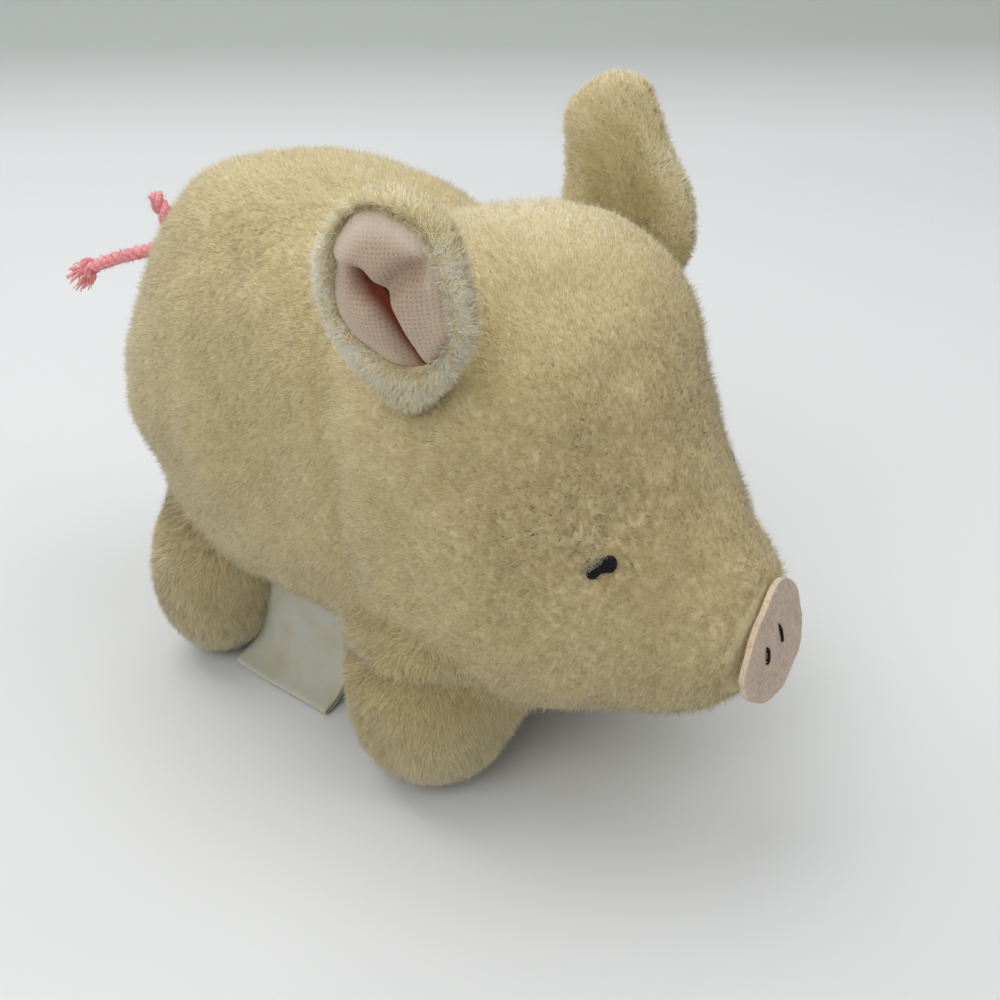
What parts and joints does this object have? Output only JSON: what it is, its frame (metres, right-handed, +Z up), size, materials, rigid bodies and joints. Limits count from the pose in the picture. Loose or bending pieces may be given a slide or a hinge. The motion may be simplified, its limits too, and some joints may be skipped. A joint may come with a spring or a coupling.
{
  "type": "plush pig",
  "caption": "Small stuffed pig in short cream plush on stub legs, with folding ears, a felt snout disc, a curled cord tail and a sewn-in fabric tab.",
  "frame": {"origin": "centre of the footprint of the stuffed body between rump and snout disc, on the plane of the soles; the tail is left out of the measure", "axes": "+X forward out of the snout, +Y to the pig's left, +Z up"},
  "size_m": [0.2169, 0.0912, 0.1332],
  "materials": {
    "plush": "short cream plush pile, slightly clumped",
    "ear_lining": "dull pink woven lining",
    "felt": "matted pinkish grey felt",
    "thread": "black embroidery thread",
    "yarn": "twisted pink yarn",
    "label_satin": "white woven satin ribbon",
    "stuffing": "loose white polyester fibre"
  },
  "bodies": {
    "body": {"body_cover": "plush", "belly_panel": "plush", "head_cover": "plush", "front_right_leg_cover": "plush", "front_left_leg_cover": "plush", "rear_right_leg_cover": "plush", "rear_left_leg_cover": "plush", "stuffing": "stuffing", "snout_disc": "felt", "right_nostril_stitch": "thread", "left_nostril_stitch": "thread", "right_eye_stitch": "thread", "left_eye_stitch": "thread"},
    "right_ear": {"right_ear": "plush", "right_ear_lining": "ear_lining"},
    "left_ear": {"left_ear": "plush", "left_ear_lining": "ear_lining"},
    "tail": {"tail_cord": "yarn", "tail_knot": "yarn", "tail_tuft": "yarn"},
    "label": {"care_label": "label_satin"}
  },
  "joints": [
    {"name": "right_ear_fold", "type": "hinge", "parent": "body", "child": "right_ear", "pos_m": [0.02267, -0.03596, 0.0933], "axis": [0.9752, 0.2073, 0.0772], "range_deg": [-8, 35], "stiffness_Nm_per_rad": 0.003},
    {"name": "left_ear_fold", "type": "hinge", "parent": "body", "child": "left_ear", "pos_m": [0.02267, 0.03594, 0.09331], "axis": [-0.9831, -0.1033, -0.1512], "range_deg": [-8, 35], "stiffness_Nm_per_rad": 0.003},
    {"name": "tail_swing", "type": "hinge", "parent": "body", "child": "tail", "pos_m": [-0.07698, 0, 0.0875], "axis": [0, 0, 1], "range_deg": [-25, 25], "stiffness_Nm_per_rad": 0.0005},
    {"name": "label_lift", "type": "hinge", "parent": "body", "child": "label", "pos_m": [-0.02651, -0.02413, 0.02405], "axis": [-1, 0, 0], "range_deg": [0, 35], "stiffness_Nm_per_rad": 0.0003}
  ]
}
